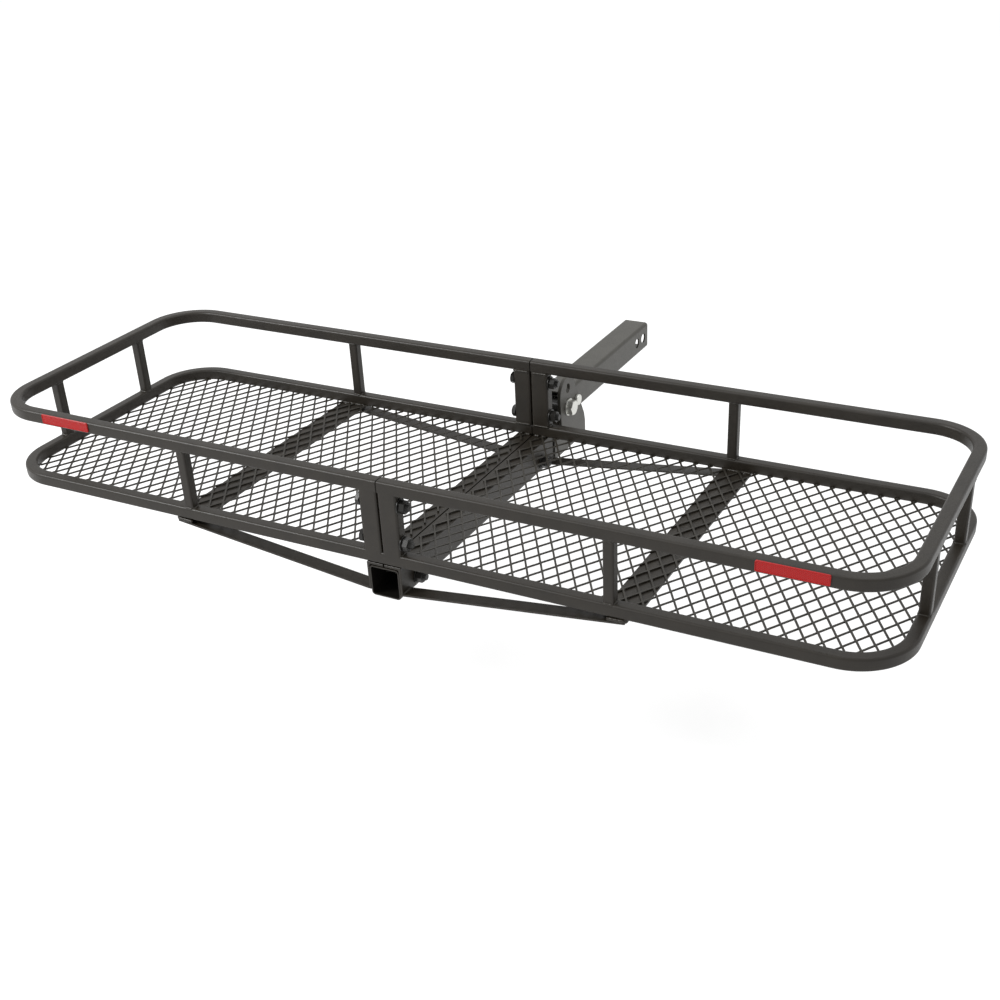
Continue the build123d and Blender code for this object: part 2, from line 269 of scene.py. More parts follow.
def rounded_outline(points, radii, steps=4):
    """A closed 2-D outline with each corner replaced by an arc of its own radius."""
    outline = []
    count = len(points)
    for i, (point, radius) in enumerate(zip(points, radii)):
        here = Vector(point)
        before = (Vector(points[i - 1]) - here).normalized()
        after = (Vector(points[(i + 1) % count]) - here).normalized()
        if radius <= 0:
            outline.append(here)
            continue
        half = before.angle(after) / 2
        reach = radius / math.tan(half)
        centre = here + (before + after).normalized() * (radius / math.sin(half))
        start = here + before * reach - centre
        end = here + after * reach - centre
        first = math.atan2(start.y, start.x)
        sweep = math.atan2(start.x * end.y - start.y * end.x, start.dot(end))
        for s in range(steps + 1):
            angle = first + sweep * s / steps
            outline.append(centre + Vector((math.cos(angle), math.sin(angle))) * radius)
    return outline


# ---------------------------------------------------------------- rolled bars and plates
def bar_from_corners(name, corners, edge, material, body):
    """A six-sided bar from its eight corners, with rounded arrises."""
    mesh = bpy.data.meshes.new(name)
    faces = [(0, 1, 2, 3), (7, 6, 5, 4), (0, 4, 5, 1), (1, 5, 6, 2), (2, 6, 7, 3), (3, 7, 4, 0)]
    mesh.from_pydata([tuple(c) for c in corners], [], faces)
    shape = bmesh.new()
    shape.from_mesh(mesh)
    bmesh.ops.bevel(shape, geom=shape.edges[:], offset=edge, segments=3, profile=0.5, affect="EDGES")
    shape.to_mesh(mesh)
    shape.free()
    return finish_piece(name, mesh, material, body, 30)


def flat_bar(name, low, high, edge, material, body):
    x0, y0, z0 = low
    x1, y1, z1 = high
    ground = [(x0, y0, z0), (x1, y0, z0), (x1, y1, z0), (x0, y1, z0)]
    top = [(x, y, z1) for x, y, _ in ground]
    return bar_from_corners(name, ground + top, edge, material, body)


def profile_along_y(name, outline, y0, y1, edge, material, body, slot):
    """A rolled section, given anticlockwise in (x, z), from y0 to y1 with its cut ends eased."""
    shell = Shell()
    rings = []
    for y, shrink in ((y0, edge), (y0 + edge, 0), (y1 - edge, 0), (y1, edge)):
        ring = []
        for i, p in enumerate(outline):
            along = (outline[(i + 1) % len(outline)] - outline[i - 1]).normalized()
            q = p + Vector((-along.y, along.x)) * shrink
            ring.append((q.x, y, q.y))
        rings.append(ring)
    shell.rings(rings)
    return shell.piece(name, material, body, slot, 30)


def cut_plate(name, loops, x0, x1, ease, material, body):
    """A flat plate between x0 and x1 from its outline and hole loops in (y, z), with eased rims."""
    shape = bmesh.new()
    edges = []
    for loop in loops:
        ring = [shape.verts.new((x0, p.x, p.y)) for p in loop]
        edges += [shape.edges.new((ring[i - 1], ring[i])) for i in range(len(ring))]
    bmesh.ops.triangle_fill(shape, use_beauty=True, use_dissolve=False, edges=edges)
    raised = bmesh.ops.extrude_face_region(shape, geom=shape.faces[:])
    moved = [part for part in raised["geom"] if isinstance(part, bmesh.types.BMVert)]
    bmesh.ops.translate(shape, verts=moved, vec=(x1 - x0, 0, 0))
    bmesh.ops.recalc_face_normals(shape, faces=shape.faces)
    rims = [e for e in shape.edges if abs(sum(abs(f.normal.x) for f in e.link_faces) - 1) < 0.2]
    bmesh.ops.bevel(shape, geom=rims, offset=ease, segments=2, profile=0.5, affect="EDGES")
    mesh = bpy.data.meshes.new(name)
    shape.to_mesh(mesh)
    shape.free()
    return finish_piece(name, mesh, material, body, 40)


def circle_loop(y, z, radius, steps=40):
    turns = [2 * math.pi * i / steps for i in range(steps)]
    return [Vector((y + radius * math.cos(a), z + radius * math.sin(a))) for a in turns]


# ---------------------------------------------------------------- expanded metal floor
STRAND_WIDE = 3.1 * MM
STRAND_THICK = 2.3 * MM
STRAND_TILT = math.radians(9)
STRAND_EDGE = 0.45 * MM
STRAND_LAP = 0.55 * MM
DIAMOND_SHORT = 25.4 * MM
DIAMOND_LONG = 41 * MM
# one knuckle of each half's floor, outward from the seam and along Y
KNUCKLE = {"left": (4.5 * MM, -2.0 * MM), "right": (9.0 * MM, 3.9 * MM)}
MESH_START = span("right_mesh_floor")[0].x


def inside_rails(x, y):
    """Distance inside the rails' inner face; x and y from the middle of the basket floor."""
    reach_x = HALF_L - RAIL
    reach_y = HALF_W - RAIL
    inner_corner = CORNER - RAIL
    over_x = abs(x) - (reach_x - inner_corner)
    over_y = abs(y) - (reach_y - inner_corner)
    if over_x > 0 and over_y > 0:
        return inner_corner - math.hypot(over_x, over_y)
    return min(reach_x - abs(x), reach_y - abs(y))


def strand_line(column, knuckle):
    """One zigzag strand along Y between two rows of knuckles: (x, y, sway) points."""
    half_x = DIAMOND_SHORT / 2
    half_y = DIAMOND_LONG / 2
    amplitude = half_x / 2 - STRAND_LAP
    middle_x = knuckle[0] + (column + 0.5) * half_x
    rows = int(HALF_W / half_y) + 2
    line = []
    for row in range(-rows, rows):
        sign = -1 if (column + row) % 2 == 0 else 1
        # a straight run that levels off softly at each knuckle
        for t in (0, 0.04, 0.08, 0.13, 0.2, 0.5, 0.8, 0.87, 0.92, 0.96):
            ramp = 1.08 * (1 - 2 * t)
            sway = sign * ramp / (1 + abs(ramp) ** 12) ** (1 / 12)
            line.append((middle_x + amplitude * sway, knuckle[1] + (row + t) * half_y, sway))
    return line


def clipped(line):
    """The stretches of a strand that lie inside the rails and on one half, cut where they cross."""
    def room(p):
        return min(inside_rails(p[0], p[1]) + 1.0 * MM, p[0] - MESH_START)

    stretches = []
    current = []
    for a, b in zip(line, line[1:]):
        ra = room(a)
        rb = room(b)
        if ra >= 0 and not current:
            current = [a]
        if ra >= 0 and rb >= 0:
            current.append(b)
        elif ra >= 0 or rb >= 0:
            share = ra / (ra - rb)
            cut = tuple(p + (q - p) * share for p, q in zip(a, b))
            if ra >= 0:
                stretches.append(current + [cut])
                current = []
            else:
                current = [cut, b]
    if len(current) > 1:
        stretches.append(current)
    return [s for s in stretches if abs(s[-1][1] - s[0][1]) > 1.5 * MM]


def floor_panel(side_name, side):
    """Raised expanded metal: tilted strands that rise and fall between shared knuckles."""
    shell = Shell()
    lift = STRAND_WIDE / 2 * math.sin(STRAND_TILT)
    rest_z = FLOOR_Z + 2 * lift + STRAND_THICK / 2 * math.cos(STRAND_TILT)
    half_wide = STRAND_WIDE / 2
    half_thick = STRAND_THICK / 2
    edge = STRAND_EDGE
    section = [
        (-half_wide + edge, -half_thick), (half_wide - edge, -half_thick),
        (half_wide, -half_thick + edge), (half_wide, half_thick - edge),
        (half_wide - edge, half_thick), (-half_wide + edge, half_thick),
        (-half_wide, half_thick - edge), (-half_wide, -half_thick + edge),
    ]
    columns = int(HALF_L / (DIAMOND_SHORT / 2)) + 1
    for column in range(-2, columns):
        for stretch in clipped(strand_line(column, KNUCKLE[side_name])):
            rings = []
            for i, (x, y, sway) in enumerate(stretch):
                before = stretch[max(i - 1, 0)]
                after = stretch[min(i + 1, len(stretch) - 1)]
                along = Vector((after[0] - before[0], after[1] - before[1], 0)).normalized()
                across = Vector((along.y, -along.x, 0))
                wide = across * math.cos(STRAND_TILT) + Vector((0, 0, math.sin(STRAND_TILT)))
                thick = along.cross(wide) * -1
                centre = Vector((x, FLOOR_Y + y, rest_z - lift * sway))
                ring = []
                for u, v in section:
                    p = centre + wide * u + thick * v
                    ring.append((side * p.x, p.y, p.z))
                rings.append(ring)
            shell.rings(rings)
    name = f"{side_name}_expanded_metal_floor"
    piece = shell.piece(name, MESH_COAT, "carrier", "mesh_coat", 30, even=False)
    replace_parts(piece, f"{side_name}_mesh_floor")


for side_name, side in SIDES:
    floor_panel(side_name, side)


# ---------------------------------------------------------------- weld beads
rng = np.random.default_rng(7)
BEAD_SIDES = 10
# a direction that no bead runs along, to square its section from
OFF_AXIS = Vector((0.31, 0.27, 0.91))


def bead(shell, points, radius, pitch=2.3 * MM):
    """A rippled weld bead along a run of points."""
    samples = []
    for a, b in zip(points, points[1:]):
        a = Vector(a)
        b = Vector(b)
        steps = max(2, int((b - a).length / (pitch / 4)))
        for i in range(steps):
            samples.append(a.lerp(b, i / steps))
    samples.append(Vector(points[-1]))
    length = 0.0
    rings = []
    wobble = rng.uniform(0, 2 * math.pi)
    for i, p in enumerate(samples):
        before = samples[max(i - 1, 0)]
        after = samples[min(i + 1, len(samples) - 1)]
        along = (after - before).normalized()
        length += (p - before).length
        side_way = along.cross(OFF_AXIS).normalized()
        up_way = along.cross(side_way)
        taper = math.sqrt(max(0.05, min(1, i / 3, (len(samples) - 1 - i) / 3)))
        ripple = 1 + 0.10 * abs(math.sin(math.pi * length / pitch)) + 0.05 * math.sin(wobble + length * 900)
        size = radius * taper * ripple
        ring = []
        for j in range(BEAD_SIDES):
            angle = 2 * math.pi * j / BEAD_SIDES
            ring.append(p + side_way * (size * math.cos(angle)) + up_way * (size * math.sin(angle)))
        rings.append(ring)
    shell.rings(rings)


def weld_round_post(shell, node, radius=1.9 * MM):
    """Beads round the foot and the head of an upright."""
    low, high = span(node)
    inset = 0.6 * MM
    x0, x1 = low.x + inset, high.x - inset
    y0, y1 = low.y + inset, high.y - inset
    for z in (low.z - 0.6 * MM, high.z + 0.6 * MM):
        bead(shell, [(x0, y0, z), (x1, y0, z)], radius)
        bead(shell, [(x1, y0, z), (x1, y1, z)], radius)
        bead(shell, [(x1, y1, z), (x0, y1, z)], radius)
        bead(shell, [(x0, y1, z), (x0, y0, z)], radius)


def frame_welds(side_name, side):
    shell = Shell()
    for end_name, end in ENDS:
        weld_round_post(shell, f"{side_name}_{end_name}_mid_post")
        weld_round_post(shell, f"{side_name}_{end_name}_end_post")
        low, high = span(f"{side_name}_{end_name}_seam_post")
        outer_x = high.x if side > 0 else low.x
        y0 = low.y + 3 * MM
        y1 = high.y - 3 * MM
        for z in (low.z, high.z):
            bead(shell, [(outer_x, y0, z), (outer_x, y1, z)], 2.0 * MM)
            inner_y = low.y if end > 0 else high.y
            bead(shell, [(side * 3 * MM, inner_y, z), (outer_x, inner_y, z)], 1.8 * MM)
        # flange of the angle iron to the inner foot of the long rail
        rail_inner = FLOOR_Y + end * (HALF_W - RAIL)
        foot_z = FLOOR_Z + MM
        for x0, x1 in ((4 * MM, 14 * MM), (18 * MM, 25 * MM)):
            bead(shell, [(side * x0, rail_inner, foot_z), (side * x1, rail_inner, foot_z)], 2.6 * MM)
        # cross bar to the underside of the long rail
        bar_low, bar_high = span(f"{side_name}_cross_bar")
        weld_z = FLOOR_Z + 0.5 * MM
        bead(shell, [(bar_low.x, rail_inner, weld_z), (bar_high.x, rail_inner, weld_z)], 2.2 * MM)
        # brace to rail and to the angle iron
        brace_low, brace_high = span(f"{side_name}_{end_name}_brace")
        tip_x = brace_high.x if side > 0 else brace_low.x
        root_x = brace_low.x if side > 0 else brace_high.x
        y0 = brace_low.y + 1 * MM
        y1 = brace_high.y - 1 * MM
        bead(shell, [(tip_x, y0, FLOOR_Z - 2.5 * MM), (tip_x, y1, FLOOR_Z - 2.5 * MM)], 3.2 * MM)
        outer_y = brace_high.y if end > 0 else brace_low.y
        weld_run = side * 28 * MM
        lip_y = outer_y - end * 1.5 * MM
        lip_start = (tip_x, lip_y, FLOOR_Z - 2.2 * MM)
        lip_end = (tip_x - weld_run, lip_y, FLOOR_Z - 3.2 * MM)
        bead(shell, [lip_start, lip_end], 2.6 * MM)
        root_z = brace_low.z + 3 * MM
        bead(shell, [(root_x, y0, root_z), (root_x, y1, root_z)], 2.2 * MM)
    shell.piece(f"{side_name}_frame_welds", WELD_COAT, "carrier", "frame_coat", 50, even=False)


for side_name, side in SIDES:
    frame_welds(side_name, side)


# ---------------------------------------------------------------- rails, seam posts and support tube
RAIL_EDGE = 4 * MM
# the halves meet face to face, inside a groove that runs round each joint
POST_GROOVE = 0.9 * MM
RAIL_GROOVE = 0.6 * MM
GROOVE_DEEP = 2.5 * MM
BEND_STEPS = 24


def seam_end(groove, ease):
    """Places along X and how far the section shrinks there, from the meeting face outwards."""
    if not groove:
        return [(0, 0), (ease, 0)]
    return [(0, GROOVE_DEEP), (groove, GROOVE_DEEP), (groove, ease), (groove + ease, 0)]


def rail_piece(name, side, z_mid, rear_groove):
    """One U of square tube, from just beside the seam round both corners and back."""
    across = HALF_W - RAIL / 2
    bend = CORNER - RAIL / 2
    reach = HALF_L - RAIL / 2
    half = RAIL / 2
    section = rounded_outline([(-half, -half), (half, -half), (half, half), (-half, half)], [RAIL_EDGE] * 4)
    ease = 0.5 * MM
    stations = [(x, -across, 0, shrink) for x, shrink in seam_end(rear_groove, ease)]
    for end, first in ((-1, 0), (1, 90)):
        for step in range(BEND_STEPS + 1):
            heading = math.radians(first + 90 * step / BEND_STEPS)
            x = reach - bend + bend * math.sin(heading)
            y = end * (across - bend) - bend * math.cos(heading)
            stations.append((x, y, heading, 0))
    stations += [(x, across, math.pi, shrink) for x, shrink in reversed(seam_end(RAIL_GROOVE, ease))]
    shell = Shell()
    rings = []
    for x, y, heading, shrink in stations:
        outward = Vector((math.sin(heading), -math.cos(heading), 0))
        centre = Vector((x, FLOOR_Y + y, z_mid))
        ring = []
        for u, v in section:
            scale = 1 - shrink / half
            p = centre + outward * (u * scale) + Vector((0, 0, v * scale))
            ring.append((side * p.x, p.y, p.z))
        rings.append(ring)
    shell.rings(rings)
    return shell.piece(name, FRAME_COAT, "carrier", "frame_coat")


def seam_post_piece(name, node, side):
    """A bolting post whose welds are ground flush, so its faces run into both rails."""
    low, high = span(node)
    x_seam = side * POST_GROOVE
    x_out = high.x if side > 0 else low.x
    deep = 6 * MM
    seam_edge = 3.6 * MM
    corners = [
        (x_seam, low.y), (x_out, low.y), (x_out, high.y), (x_seam, high.y),
        (x_seam, high.y - deep), (0, high.y - deep), (0, low.y + deep), (x_seam, low.y + deep),
    ]
    outline = rounded_outline(corners, [seam_edge, RAIL_EDGE, RAIL_EDGE, seam_edge, 0, 0, 0, 0])
    run_on = RAIL_EDGE - 0.1 * MM
    shell = Shell()
    shell.rings([[(x, y, z) for x, y in outline] for z in (low.z - run_on, high.z + run_on)])
    post = shell.piece(name, FRAME_COAT, "carrier", "frame_coat")
    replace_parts(post, node)


def support_tube_piece():
    low, high = span("support_tube")
    wall = 2.5 * MM
    outer_edge = 6 * MM
    ease = 0.7 * MM

    def outline(inset):
        x0, x1 = low.x + inset, high.x - inset
        z0, z1 = low.z + inset, high.z - inset
        return rounded_outline([(x0, z0), (x1, z0), (x1, z1), (x0, z1)], [outer_edge - inset] * 4, 6)

    shell = Shell()
    lips = ((low.y, 1), (high.y, -1))
    loops = []
    for end_y, inward in lips:
        eased_y = end_y + inward * ease
        turn_y = end_y + inward * ease * 0.3
        lip = [
            (0, eased_y), (ease * 0.3, turn_y), (ease, end_y),
            (wall - ease, end_y), (wall - ease * 0.3, turn_y), (wall, eased_y),
        ]
        loops.append(lip if inward > 0 else lip[::-1])
    rings = []
    for inset, y in loops[0] + loops[1]:
        rings.append([(p.x, y, p.y) for p in outline(inset)])
    shell.rings(rings, closed=True)
    tube = shell.piece("centre_support_tube", FRAME_COAT, "carrier", "frame_coat")
    # the long faces that look inwards at the tube's axis get a near-black, dull colour: painted shade for
    # the dark inside of the tube
    tube.data.materials.append(BORE_PAINTED_SHADE)
    axis = (low + high) / 2
    for polygon in tube.data.polygons:
        off = Vector((polygon.center.x - axis.x, 0, polygon.center.z - axis.z))
        if polygon.normal.dot(off) < -0.5 * off.length:
            polygon.material_index = 1
    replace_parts(tube, "support_tube")


for side_name, side in SIDES:
    for level in ("bottom", "top"):
        node = f"{side_name}_{level}_rail"
        # no groove shows on the lower rails at the rear
        rear_groove = 0 if level == "bottom" else RAIL_GROOVE
        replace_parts(rail_piece(f"{node}_tube", side, middle(node).z, rear_groove), node)
    for end_name, end in ENDS:
        seam_post_piece(f"{side_name}_{end_name}_bolting_post", f"{side_name}_{end_name}_seam_post", side)
support_tube_piece()


# ---------------------------------------------------------------- flat bars and angles
ANGLE_WEB = span("right_centre_angle")[1].x - span("support_tube")[1].x
ANGLE_GAP = 1.1 * MM
BRACE_THICK = 3 * MM

for side_name, side in SIDES:
    low, high = span(f"{side_name}_cross_bar")
    bar = flat_bar(f"{side_name}_cross_flat", low, high, 0.7 * MM, FRAME_COAT, "carrier")
    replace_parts(bar, f"{side_name}_cross_bar")
    for end_name, end in ENDS:
        low, high = span(f"{side_name}_{end_name}_brace")
        x_root, x_tip = (low.x, high.x) if side > 0 else (high.x, low.x)
        near = [(x_root, low.y, low.z), (x_tip, low.y, high.z - BRACE_THICK)]
        far = [(x_tip, high.y, high.z - BRACE_THICK), (x_root, high.y, low.z)]
        ground = near + far
        top = [(x, y, z + BRACE_THICK) for x, y, z in ground]
        name = f"{side_name}_{end_name}_brace_flat"
        bar = bar_from_corners(name, ground + top, 0.6 * MM, FRAME_COAT, "carrier")
        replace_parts(bar, f"{side_name}_{end_name}_brace")

    low, high = span(f"{side_name}_centre_angle")
    x_seam = side * ANGLE_GAP
    x_out = high.x if side > 0 else low.x
    top_z, foot_z = high.z, low.z
    corners = [
        (x_seam, top_z), (x_out, top_z), (x_out, foot_z),
        (x_out - side * ANGLE_WEB, foot_z), (x_out - side * ANGLE_WEB, top_z - ANGLE_WEB),
        (x_seam, top_z - ANGLE_WEB),
    ]
    outline = rounded_outline(corners, [0.4 * MM, 1.2 * MM, 1.5 * MM, 2 * MM, 3 * MM, 0.4 * MM])
    if side > 0:
        outline = outline[::-1]
    angle = profile_along_y(f"{side_name}_centre_angle_iron", outline, low.y, high.y, 0.5 * MM,
                            FRAME_COAT, "carrier", "frame_coat")
    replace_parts(angle, f"{side_name}_centre_angle")


# ---------------------------------------------------------------- hinge plates
PIVOT = middle("pivot_washers")
LOCK = middle("lock_pin")
LUG_R = 31 * MM
HOLE_R = 8.25 * MM
LOCK_RADIUS = LOCK.y - PIVOT.y

for side_name, side in SIDES:
    low, high = span(f"{side_name}_hinge_plate")
    y, z = PIVOT.y, PIVOT.z
    foot_z = low.z
    corners = [
        (low.y, foot_z), (low.y, z - 40.4 * MM), (y - 28 * MM, z - 28.4 * MM), (y - LUG_R, z + 25.6 * MM),
        (y - LUG_R, high.z), (y + LUG_R, high.z), (y + LUG_R, z + 25.6 * MM),
        (high.y - 4 * MM, z - 36.4 * MM), (high.y, z - 52.4 * MM), (high.y, foot_z),
    ]
    radii = [2 * MM, 3 * MM, 6 * MM, 0, LUG_R * 0.999, LUG_R * 0.999, 0, 6 * MM, 6 * MM, 2 * MM]
    loops = [
        rounded_outline(corners, radii, 12),
        circle_loop(y, z, HOLE_R),
        circle_loop(LOCK.y, LOCK.z, HOLE_R),
        circle_loop(y, z + LOCK_RADIUS, HOLE_R),
    ]
    plate = cut_plate(f"{side_name}_hinge_side_plate", loops, low.x, high.x, 0.8 * MM,
                      SHANK_COAT, "carrier")
    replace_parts(plate, f"{side_name}_hinge_plate")

    # fillet weld along the plate's foot and up its two ends
    shell = Shell()
    tube_x = side * span("support_tube")[1].x
    bead(shell, [(tube_x, low.y + 2 * MM, foot_z), (tube_x, high.y - 2 * MM, foot_z)], 2.6 * MM)
    end_x = tube_x + side * MM
    weld_top = z - 54 * MM
    for end_y in (low.y, high.y):
        bead(shell, [(end_x, end_y, foot_z + MM), (end_x, end_y, weld_top)], 2.6 * MM)
    shell.piece(f"{side_name}_hinge_welds", WELD_COAT, "carrier", "frame_coat", 50, even=False)


# ---------------------------------------------------------------- turned and hexagonal hardware, all along X
def ring_x(x, radius, y, z, start=0.0, steps=48):
    turns = [start + 2 * math.pi * i / steps for i in range(steps)]
    return [(x, y + radius * math.cos(a), z + radius * math.sin(a)) for a in turns]


def hex_ring(face_x, inward, across, face_radius, y, z, start, steps=48):
    """The wavy edge where a 30 degree chamfer meets the six flats."""
    ring = []
    for i in range(steps):
        turn = 2 * math.pi * i / steps
        off = turn % (math.pi / 3) - math.pi / 6
        radius = across / 2 / math.cos(off)
        depth = (radius - face_radius) * math.tan(math.radians(30))
        angle = start + turn
        ring.append((face_x + inward * depth, y + radius * math.cos(angle), z + radius * math.sin(angle)))
    return ring


def hex_body(shell, seat_x, face_x, across, y, z, start, bore=None):
    """A bolt head, or a nut when it has a bore, from its seat to its chamfered face."""
    inward = 1 if seat_x > face_x else -1
    face_radius = across * 0.475
    lip = 0.5 * MM
    wide = hex_ring(seat_x, 0, across, face_radius, y, z, start)
    seat_hex = [(seat_x - inward * lip, p[1], p[2]) for p in wide]
    rings = [
        ring_x(seat_x, face_radius, y, z, start),
        ring_x(seat_x - inward * lip, face_radius, y, z, start),
        seat_hex,
        hex_ring(face_x, inward, across, face_radius, y, z, start),
        ring_x(face_x, face_radius, y, z, start),
    ]
    if bore:
        rings.append(ring_x(face_x, bore + 0.9 * MM, y, z, start))
        rings.append(ring_x(face_x + inward * 0.9 * MM, bore, y, z, start))
        rings.append(ring_x(seat_x, bore, y, z, start))
    shell.rings(rings, closed=bool(bore))


def washer_body(shell, x0, x1, radius, bore, y, z):
    ease = 0.35 * MM
    profile = [
        (x0, bore), (x0, radius - ease), (x0 + ease, radius),
        (x1 - ease, radius), (x1, radius - ease), (x1, bore),
    ]
    shell.rings([ring_x(x, r, y, z) for x, r in profile], closed=True)


def threaded_end(shell, x0, x1, radius, pitch, y, z, steps=36):
    """A helical thread from x0 out to a chamfered tip at x1."""
    way = 1 if x1 > x0 else -1
    depth = 0.55 * pitch
    count = int(abs(x1 - x0) / (pitch / 8))
    rings = []
    for i in range(count + 1):
        x = x0 + way * i * pitch / 8
        tip_room = abs(x1 - x)
        ring = []
        for j in range(steps):
            angle = 2 * math.pi * j / steps
            phase = (abs(x - x0) / pitch + j / steps) % 1
            r = radius - depth * (1 - abs(2 * phase - 1))
            r = min(r, radius - 1.4 * MM + tip_room)
            ring.append((x, y + r * math.cos(angle), z + r * math.sin(angle)))
        rings.append(ring)
    shell.rings(rings)


def cross_fasteners(group, grip, spots):
    """Head on -X, washer, nut and threaded end on +X, for each place in a group."""
    across = 18 * MM
    bolt_r = 6 * MM
    pitch = 1.75 * MM
    washer = 2 * MM
    washer_r = 12 * MM
    washer_bore = 6.5 * MM
    head_x = span(f"{group}_bolts")[0].x
    tip_x = span(f"{group}_bolts")[1].x
    nut_low, nut_high = span(f"{group}_nuts")
    bolts, nuts, washers = Shell(), Shell(), Shell()
    for index, (y, z) in enumerate(spots):
        # no two are tightened to the same angle
        start = math.radians(90 + 17 * index)
        hex_body(bolts, -grip, head_x, across, y, z, start)
        bolts.rings([ring_x(x, bolt_r, y, z) for x in (-grip, nut_low.x)])
        threaded_end(bolts, nut_low.x, tip_x, bolt_r, pitch, y, z)
        hex_body(nuts, nut_low.x, nut_high.x, across, y, z, start + math.radians(23), bolt_r)
        washer_body(washers, grip, grip + washer, washer_r, washer_bore, y, z)
    for part, shell in (("bolts", bolts), ("nuts", nuts), ("washers", washers)):
        piece = shell.piece(f"{group}_hex_{part}", BLACK_STEEL, "carrier", "black_hardware", 28)
        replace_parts(piece, f"{group}_{part}")


SEAM_Z = (38 * MM, 99 * MM)
TUBE_BOLT_Y = 210 * MM
rail_line = HALF_W - RAIL / 2
seam_grip = span("right_rear_seam_post")[1].x
tube_grip = span("right_centre_angle")[1].x
seam_spots = [(FLOOR_Y + end * rail_line, FLOOR_Z + z) for end in (-1, 1) for z in SEAM_Z]
cross_fasteners("seam", seam_grip, seam_spots)
tube_bolt_z = middle("tube_bolts").z
tube_spots = [(FLOOR_Y + end * TUBE_BOLT_Y, tube_bolt_z) for end in (-1, 1)]
cross_fasteners("tube", tube_grip, tube_spots)


def pivot_hardware():
    across = 24 * MM
    bolt_r = 8 * MM
    pitch = 2 * MM
    washer_r = 15.2 * MM
    washer_bore = 8.4 * MM
    bolt_low, bolt_high = span("pivot_bolt")
    nut_low, nut_high = span("pivot_nut")
    washer_low, washer_high = span("pivot_washers")
    y, z = PIVOT.y, PIVOT.z
    bolt = Shell()
    hex_body(bolt, washer_high.x, bolt_high.x, across, y, z, math.radians(52))
    bolt.rings([ring_x(x, bolt_r, y, z) for x in (nut_high.x, washer_high.x)])
    threaded_end(bolt, nut_high.x, bolt_low.x, bolt_r, pitch, y, z)
    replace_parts(bolt.piece("pivot_hex_bolt", ZINC, "carrier", "zinc_plate", 28), "pivot_bolt")
    nut = Shell()
    hex_body(nut, nut_high.x, nut_low.x, across, y, z, math.radians(75), bolt_r)
    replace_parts(nut.piece("pivot_hex_nut", ZINC, "carrier", "zinc_plate", 28), "pivot_nut")
    washers = Shell()
    plate_x = span("right_hinge_plate")[1].x
    for x0, x1 in ((washer_low.x, -plate_x), (plate_x, washer_high.x)):
        washer_body(washers, x0, x1, washer_r, washer_bore, y, z)
    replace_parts(washers.piece("pivot_flat_washers", ZINC, "carrier", "zinc_plate", 28), "pivot_washers")


def lock_pin_piece():
    """Headed pin with a crowned head, a bevelled tip and the clip's cross hole."""
    low, high = span("lock_pin")
    clip_x = middle("hairpin_clip").x
    seat = span("right_hinge_plate")[1].x
    y, z = LOCK.y, LOCK.z
    head_r = 9.8 * MM
    pin_r = 7.8 * MM
    profile = [
        (low.x, pin_r - 1.8 * MM), (low.x + 1.6 * MM, pin_r), (seat, pin_r), (seat, head_r - 0.4 * MM),
        (seat + 0.4 * MM, head_r), (high.x - 1.8 * MM, head_r), (high.x - 0.7 * MM, head_r - 0.6 * MM),
        (high.x - 0.2 * MM, head_r - 2.2 * MM), (high.x, head_r - 5 * MM),
    ]
    shell = Shell()
    shell.rings([ring_x(x, r, y, z) for x, r in profile])
    pin = shell.piece("lock_pin_turned", ZINC, "lock_pin", "zinc_plate", 28)
    drill = Shell()
    drill_rings = []
    hole_r = 2.1 * MM
    turns = [2 * math.pi * i / 24 for i in range(24)]
    for reach in (-12 * MM, 12 * MM):
        drill_rings.append([
            (clip_x + hole_r * math.cos(a), y + hole_r * math.sin(a), z + reach) for a in turns
        ])
    drill.rings(drill_rings)
    mesh = bpy.data.meshes.new("drill")
    mesh.from_pydata(drill.verts, [], drill.faces)
    cutter = bpy.data.objects.new("drill", mesh)
    bpy.context.scene.collection.objects.link(cutter)
    cut = pin.modifiers.new("cross_hole", "BOOLEAN")
    cut.operation = "DIFFERENCE"
    cut.object = cutter
    pin.modifiers.move(len(pin.modifiers) - 1, 0)
    bpy.context.view_layer.update()
    evaluated = pin.evaluated_get(bpy.context.evaluated_depsgraph_get())
    drilled = bpy.data.meshes.new_from_object(evaluated)
    pin.modifiers.clear()
    pin.data = drilled
    bpy.data.objects.remove(cutter)
    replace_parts(pin, "lock_pin")


pivot_hardware()
lock_pin_piece()


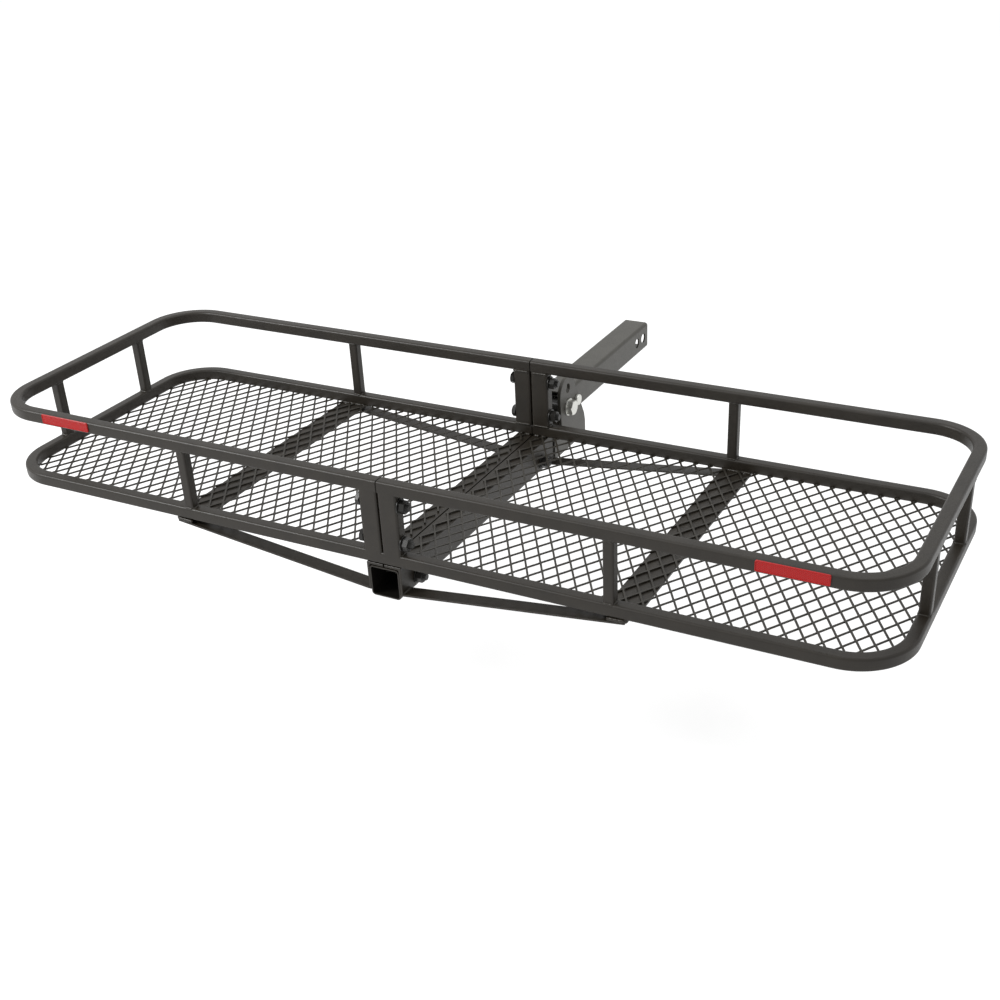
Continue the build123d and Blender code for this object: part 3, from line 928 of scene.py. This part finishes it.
# ---------------------------------------------------------------- reflectors
def reflector_piece(side_name):
    """A rimmed plate with a recessed field of small prisms."""
    node = f"{side_name}_reflector"
    low, high = span(node)
    rim = 1.3 * MM
    sink = 0.6 * MM
    back_y = high.y
    face_y = low.y
    corners = [(low.x, low.z), (high.x, low.z), (high.x, high.z), (low.x, high.z)]

    def loop(inset, radius, y):
        centre_x = (low.x + high.x) / 2
        centre_z = (low.z + high.z) / 2
        shrunk = [
            (x - math.copysign(inset, x - centre_x), z - math.copysign(inset, z - centre_z))
            for x, z in corners
        ]
        return [(p.x, y, p.y) for p in rounded_outline(shrunk, [radius] * 4)]

    shell = Shell()
    shell.rings([
        loop(0, 2 * MM, back_y), loop(0, 2 * MM, face_y + 0.5 * MM), loop(0.5 * MM, 1.6 * MM, face_y),
        loop(rim - 0.3 * MM, 1.2 * MM, face_y), loop(rim, 1.0 * MM, face_y + sink),
    ])
    pitch = 2.35 * MM
    x0, x1 = low.x + rim, high.x - rim
    z0, z1 = low.z + rim, high.z - rim
    columns = round((x1 - x0) / pitch)
    rows = round((z1 - z0) / pitch)
    for column in range(columns):
        for row in range(rows):
            xa = x0 + (x1 - x0) * column / columns
            xb = x0 + (x1 - x0) * (column + 1) / columns
            za = z0 + (z1 - z0) * row / rows
            zb = z0 + (z1 - z0) * (row + 1) / rows
            base = len(shell.verts)
            foot_y = face_y + sink + 0.05 * MM
            shell.verts += [(xa, foot_y, za), (xb, foot_y, za), (xb, foot_y, zb), (xa, foot_y, zb)]
            shell.verts.append(((xa + xb) / 2, foot_y - 0.4 * MM, (za + zb) / 2))
            for k in range(4):
                shell.faces.append((base + k, base + (k + 1) % 4, base + 4))
            shell.faces.append((base + 3, base + 2, base + 1, base))
    lens = shell.piece(f"{side_name}_reflector_lens", RED_LENS, "carrier", "reflector_red", 25, even=False)
    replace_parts(lens, node)


for side_name, _ in SIDES:
    reflector_piece(side_name)


# ---------------------------------------------------------------- carried CAD nodes
for name, node in nodes.items():
    if name == "shank_tube":
        material = SHANK_COAT
    # the pivot sleeve is a spacer between the shank's ears in black hardware colour; the dark colour partly
    # stands as painted shade for the dark space round the pivot bolt
    elif name == "pivot_sleeve":
        material = BLACK_STEEL
    elif name.startswith(("pivot", "lock_pin", "hairpin")):
        material = ZINC
    elif name.endswith(("_bolts", "_nuts", "_washers")):
        material = BLACK_STEEL
    elif "reflector" in name:
        material = RED_LENS
    else:
        material = FRAME_COAT
    node.data.materials.clear()
    node.data.materials.append(material)


# ---------------------------------------------------------------- stage, light and camera
def studio():
    world = bpy.data.worlds.new("studio")
    world.use_nodes = True
    world.node_tree.nodes["Background"].inputs["Color"].default_value = (1, 1, 1, 1)
    world.node_tree.nodes["Background"].inputs["Strength"].default_value = 1.0
    bpy.context.scene.world = world

    def area(name, place, aim, size, power):
        light = bpy.data.lights.new(name, "AREA")
        light.shape = "SQUARE"
        light.size = size
        light.energy = power
        lamp = bpy.data.objects.new(name, light)
        lamp.location = place
        lamp.rotation_euler = (Vector(aim) - Vector(place)).to_track_quat("-Z", "Y").to_euler()
        bpy.context.scene.collection.objects.link(lamp)

    aim = (0, FLOOR_Y, 0)
    area("key", (-2.6, FLOOR_Y - 2.1, 2.5), aim, 1.0, 135)
    area("top", (0.6, FLOOR_Y + 0.4, 3.0), aim, 2.6, 30)

    mesh = bpy.data.meshes.new("studio_floor")
    reach = 14.0
    below = 0.35
    z = cad_box[0][2] - below
    corners = [(-reach, -reach, z), (reach, -reach, z), (reach, reach, z), (-reach, reach, z)]
    mesh.from_pydata(corners, [], [(0, 1, 2, 3)])
    material, tree, shader = new_material("studio_floor")
    shader.inputs["Base Color"].default_value = (0.45, 0.45, 0.45, 1)
    shader.inputs["Roughness"].default_value = 0.9
    shader.inputs["Specular IOR Level"].default_value = 0.0
    shader.inputs["Emission Color"].default_value = (1, 1, 1, 1)
    shader.inputs["Emission Strength"].default_value = 0.56
    mesh.materials.append(material)
    ground = bpy.data.objects.new("studio_floor", mesh)
    bpy.context.scene.collection.objects.link(ground)
    bpy.context.scene.view_settings.view_transform = "Standard"


AZIMUTH = math.radians(29.498)
ELEVATION = math.radians(30.557)
ROLL = math.radians(-3.148)
DISTANCE = 1.831032
TARGET = Vector((0.245893, FLOOR_Y - 0.342277, FLOOR_Z + 0.080))
FOCAL = 49.879
SHIFT_Y = 0.08


def camera():
    away = Vector((math.sin(AZIMUTH) * math.cos(ELEVATION), -math.cos(AZIMUTH) * math.cos(ELEVATION),
                   math.sin(ELEVATION)))
    right = (-away).cross(Vector((0, 0, 1))).normalized()
    up = right.cross(-away)
    rolled_right = right * math.cos(ROLL) + up * math.sin(ROLL)
    rolled_up = up * math.cos(ROLL) - right * math.sin(ROLL)
    data = bpy.data.cameras.new("camera")
    data.lens = FOCAL
    data.sensor_width = 36
    data.shift_y = SHIFT_Y
    data.clip_end = 100
    view = bpy.data.objects.new("camera", data)
    turn = Matrix((rolled_right, rolled_up, away)).transposed().to_4x4()
    view.matrix_world = Matrix.Translation(TARGET + away * DISTANCE) @ turn
    bpy.context.scene.collection.objects.link(view)
    bpy.context.scene.camera = view


studio()
camera()
